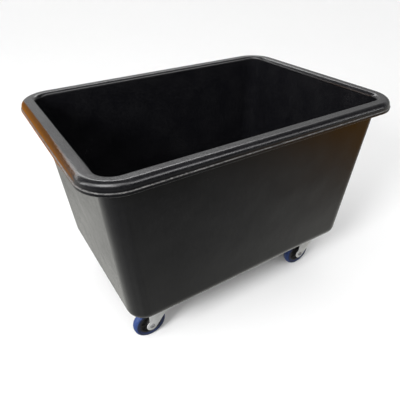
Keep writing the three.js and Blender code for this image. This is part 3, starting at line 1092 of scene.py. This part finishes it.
def wheel_centre_piece():
    count = 8
    ribs = [centre_rib(k * FULL_TURN / count, side) for k in range(count) for side in (-1, 1)]
    return joined("wheel_centre", [wheel_centre(), *ribs], BLACK_NYLON)


# A tyre's face belongs to a side wall if its normal points this far along the axle.
SIDE_FACING = 0.85


def tyre_piece():
    """The tyre, with its side walls in a darker copy of the blue rubber: that darkness is painted
    shade, standing in for the shade on the wheel's sides.
    """
    made = joined("tyre", [tyre()], BLUE_RUBBER)
    made.data.materials.append(RUBBER_SIDE_PAINTED_SHADE)
    for face in made.data.polygons:
        if abs(face.normal.y) > SIDE_FACING:
            face.material_index = 1
    return made


kingpin_nut = nut(PIN + 0.1, PIN_NUT_ACROSS, pin_nut_low.z, pin_nut_high.z)

# name, a first copy, body, slot; a piece without a CAD node of its own adds to another's.
CASTOR_PIECES = (
    ("stud_plate", joined("first", stud_plate(), ZINC), "tub", "zinc_plated_steel"),
    ("top_plate", top_plate_piece(), "tub", "zinc_plated_steel"),
    ("kingpin", joined("first", [kingpin()], SHADE_DARKENED_ZINC), "tub", "zinc_plated_steel"),
    ("kingpin_nut", joined("first", [kingpin_nut], SHADE_DARKENED_ZINC), "tub", "zinc_plated_steel"),
    ("lower_race", joined("first", [lower_race()], BEARING_STEEL), "tub", "bearing_steel"),
    ("ball_ring", joined("first", balls(), BEARING_STEEL), "swivel", "bearing_steel"),
    ("fork", fork_piece(), "swivel", "zinc_plated_steel"),
    ("axle_bolt", joined("first", [axle_bolt()], SHADE_DARKENED_ZINC), "swivel", "zinc_plated_steel"),
    ("axle_nut", joined("first", [axle_nut()], SHADE_DARKENED_ZINC), "swivel", "zinc_plated_steel"),
    ("axle_sleeve", joined("first", [axle_sleeve()], SHADE_DARKENED_ZINC), "swivel", "zinc_plated_steel"),
    ("roller_bearing", joined("first", roller_bearing(), BEARING_STEEL), "wheel", "bearing_steel"),
    ("wheel_centre", wheel_centre_piece(), "wheel", "black_nylon"),
    ("tyre", tyre_piece(), "wheel", "blue_rubber"),
    ("mounting_nuts", joined("first", castor_nuts(), SHADE_DARKENED_ZINC), "tub", "zinc_plated_steel"),
    ("mounting_washers", joined("first", castor_washers(), SHADE_DARKENED_ZINC), "tub", "zinc_plated_steel"),
)
EXTRAS = ("mounting_nuts", "mounting_washers")


def place_castor(corner):
    swivel = Vector(joints["swivel_" + corner]["pos_m"])
    wheel = Vector(joints["wheel_" + corner]["pos_m"])
    turn = 0.0 if wheel.x < swivel.x else math.pi
    matrix = (
        Matrix.Translation((swivel.x, swivel.y, 0.0))
        @ Matrix.Rotation(turn, 4, "Z")
        @ Matrix.Scale(MM, 4)
    )
    for name, first, body, slot in CASTOR_PIECES:
        mesh = first.data.copy()
        mesh.transform(matrix)
        made = bpy.data.objects.new(name + "_visual_" + corner, mesh)
        bpy.context.scene.collection.objects.link(made)
        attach(made, body if body == "tub" else body + "_" + corner)
        if name not in EXTRAS:
            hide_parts(name + "_" + corner)


for corner in CORNERS:
    place_castor(corner)
for _, first, _, _ in CASTOR_PIECES:
    bpy.data.objects.remove(first)


# ---- Camera, light and floor --------------------------------------------------------


# The camera as solved from the photo: millimetres, metres and radians.
LENS, SENSOR = 35.2935, 36.0
CAMERA_PLACE = (-0.7402, -1.1600, 1.2371)
CAMERA_HEADING, CAMERA_DROP, CAMERA_ROLL = -0.5533, 0.5875, -0.0118


def camera():
    data = bpy.data.cameras.new("camera")
    data.lens = LENS
    data.sensor_width = SENSOR
    made = bpy.data.objects.new("camera", data)
    heading = Matrix.Rotation(CAMERA_HEADING, 4, "Z")
    pitch = Matrix.Rotation(RIGHT_ANGLE - CAMERA_DROP, 4, "X")
    roll = Matrix.Rotation(CAMERA_ROLL, 4, "Z")
    place = Matrix.Translation(CAMERA_PLACE)
    made.matrix_world = place @ heading @ pitch @ roll
    bpy.context.scene.collection.objects.link(made)
    bpy.context.scene.camera = made


def area_light(name, place, aim, size, power):
    data = bpy.data.lights.new(name, "AREA")
    data.shape = "RECTANGLE"
    data.size, data.size_y = size
    data.energy = power
    made = bpy.data.objects.new(name, data)
    direction = Vector(aim) - Vector(place)
    made.matrix_world = (
        Matrix.Translation(place) @ direction.to_track_quat("-Z", "Y").to_matrix().to_4x4()
    )
    made.visible_camera = False
    made.visible_glossy = False
    bpy.context.scene.collection.objects.link(made)


def sky_light(strength, degrees, toward):
    """Even soft light from a wide disc of sky, with no shine of its own."""
    data = bpy.data.lights.new("sky", "SUN")
    data.energy = strength
    data.angle = math.radians(degrees)
    made = bpy.data.objects.new("sky", data)
    made.matrix_world = Vector(toward).to_track_quat("Z", "Y").to_matrix().to_4x4()
    made.visible_camera = False
    made.visible_glossy = False
    bpy.context.scene.collection.objects.link(made)


# Radiance along the arc from the horizon behind the tub, over the zenith, to the
# horizon in front: (degrees, radiance), for its left and its right side.
LEFT_ARC = (
    (0, 0.5), (15, 0.7), (24, 0.85), (35, 0.95), (38, 9.5), (41, 9.5), (46, 0.2),
    (96, 0.25), (112, 9.0), (130, 9.0), (140, 0.25), (180, 0.2),
)
RIGHT_ARC = (
    (0, 0.2), (17, 0.30), (24, 0.62), (32, 0.66), (40, 0.30), (58, 0.12), (104, 0.12),
    (114, 7.0), (121, 7.0), (129, 0.12), (160, 0.1), (180, 0.1),
)
BRIGHTEST = 10.0
AMBER = (1.0, 0.36, 0.02)
BROWN = (0.42, 0.18, 0.0)
DAYLIGHT = (1.0, 1.0, 0.95)
BLACK = (0.0, 0.0, 0.0)
# Directions: level from the camera, to its right, and towards the brown part.
AHEAD = (0.5255, 0.851, 0.0)
ASIDE = (0.851, -0.5255, 0.0)
TO_BROWN = (0.84, -0.46, -0.26)
TO_LEFT_SIDE = (0.0, 1.0, 0.0)
TO_FRONT_END = (1.0, 0.0, 0.0)


def upper_half(nodes, up):
    """The radiance above the horizon: two arcs, blended from left to right, even
    behind the tub and patchy from the zenith to the horizon in front."""
    arc = nodes.math("ARCTAN2", up, nodes.along(AHEAD))
    left = nodes.ramp(arc, LEFT_ARC)
    right = nodes.ramp(arc, RIGHT_ARC)
    to_right = nodes.remap(nodes.along(ASIDE), 0.0, 0.5, 0.0, 1.0)
    upper = nodes.blend(to_right, left, right)
    patches = nodes.remap(nodes.noise(3.2, 1.0, 0.5), 0.40, 0.56, 0.30, 1.0)
    even_behind = nodes.remap(arc, 1.0, 1.4, 1.0, 0.0)
    return nodes.math("MULTIPLY", upper, nodes.math("MAXIMUM", patches, even_behind))


def lower_half(nodes, up):
    """The radiance below the horizon, which the upright walls mirror."""
    to_left_side = nodes.along(TO_LEFT_SIDE)
    behind = nodes.remap(to_left_side, 0.28, 0.62, 0.0, 0.25)
    trailing = nodes.remap(to_left_side, -0.45, 0.45, 0.0, 0.20)
    steeply_below = nodes.remap(up, -0.82, -0.50, 0.38, 0.09)
    rightward = nodes.remap(nodes.along(TO_FRONT_END), 0.40, 0.68, 1.0, 2.5)
    below = nodes.math("MULTIPLY", steeply_below, rightward)
    lower = nodes.math("ADD", nodes.math("ADD", behind, trailing), below)
    lower = nodes.math("ADD", lower, nodes.remap(up, -0.50, -0.05, 0.0, 0.22))
    clouds = nodes.remap(nodes.noise(5.5, 3.0, 0.6), 0.35, 0.65, 0.80, 1.20)
    return nodes.math("MULTIPLY", lower, clouds)


def brown_part(nodes, up):
    """How brown a direction is: a patch low on the right, cut off above and below."""
    warm = nodes.remap(nodes.along(TO_BROWN), 0.86, 0.985, 0.0, 1.0)
    warm = nodes.math("POWER", warm, 1.4)
    warm = nodes.math("MULTIPLY", warm, nodes.remap(up, -0.55, -0.43, 0.12, 1.0))
    return nodes.math("MULTIPLY", warm, nodes.remap(up, -0.37, -0.30, 1.0, 0.0))


def world():
    """A studio by direction. Only gloss sees it: the sky and the key light the rest."""
    made = bpy.data.worlds.new("studio")
    bpy.context.scene.world = made
    made.cycles_visibility.diffuse = False
    nodes = Nodes(made, "Background", "Generated")
    up = nodes.split(2)
    upper = nodes.grey(upper_half(nodes, up))
    lower = nodes.mix(lower_half(nodes, up), BLACK, DAYLIGHT)
    colour = nodes.mix(nodes.remap(up, -0.08, 0.04, 0.0, 1.0), lower, upper)
    colour = nodes.mix(brown_part(nodes, up), colour, BROWN)
    nodes.link(colour, nodes.shader.inputs["Color"])


def floor():
    size, pale = 16.0, 0.88
    verts = [(-size, -size, 0), (size, -size, 0), (size, size, 0), (-size, size, 0)]
    nodes = material_nodes("pale_floor")
    nodes.set(Roughness=0.75, Specular_IOR_Level=0.2, Base_Color=(pale, pale, pale, 1.0))
    made = new_object("floor", verts, [(0, 1, 2, 3)], nodes.material)
    made.visible_glossy = False
    made.visible_diffuse = False


def glowing(name, part, colour, seen_by_camera):
    """A plain surface of even light, which only the camera or only gloss sees."""
    nodes = material_nodes(name)
    nodes.set(Roughness=1.0, Base_Color=(*BLACK, 1.0))
    nodes.set(Emission_Color=(*colour, 1.0), Emission_Strength=1.0)
    made = joined(name, [part], nodes.material)
    made.visible_camera = seen_by_camera
    made.visible_glossy = not seen_by_camera
    made.visible_diffuse = False
    made.visible_transmission = False
    made.visible_shadow = False


def backdrop():
    """A pale dome behind everything."""
    radius, sunk, pale = 15.5, 0.02, 0.93
    profile = [(0.0, -sunk)]
    profile += [(radius * math.cos(a), radius * math.sin(a) - sunk) for a in arc_angles(24)]
    profile[-1] = (0.0, profile[-1][1])
    glowing("backdrop", lathe(profile, 96), (pale, pale, pale), True)


def amber_card():
    """An upright card off the tub's rear left corner, mirrored in the side of the rim.

    From low oblique views the walls mirror it too, as a brown patch.
    """
    right, left, depth, low, high = -0.60, -1.15, 0.75, 0.25, 1.25
    verts = [(right, depth, low), (left, depth, low), (left, depth, high), (right, depth, high)]
    glowing("amber_card", (verts, [(0, 1, 2, 3)]), AMBER, False)


bpy.context.scene.view_settings.view_transform = "Standard"
camera()
world()
floor()
backdrop()
amber_card()
sky_light(strength=3.3, degrees=130.0, toward=(-0.28, -0.20, 1.0))
area_light("key", place=(-3.3, -1.4, 2.4), aim=(0, 0, 0.2), size=(1.2, 1.2), power=150.0)
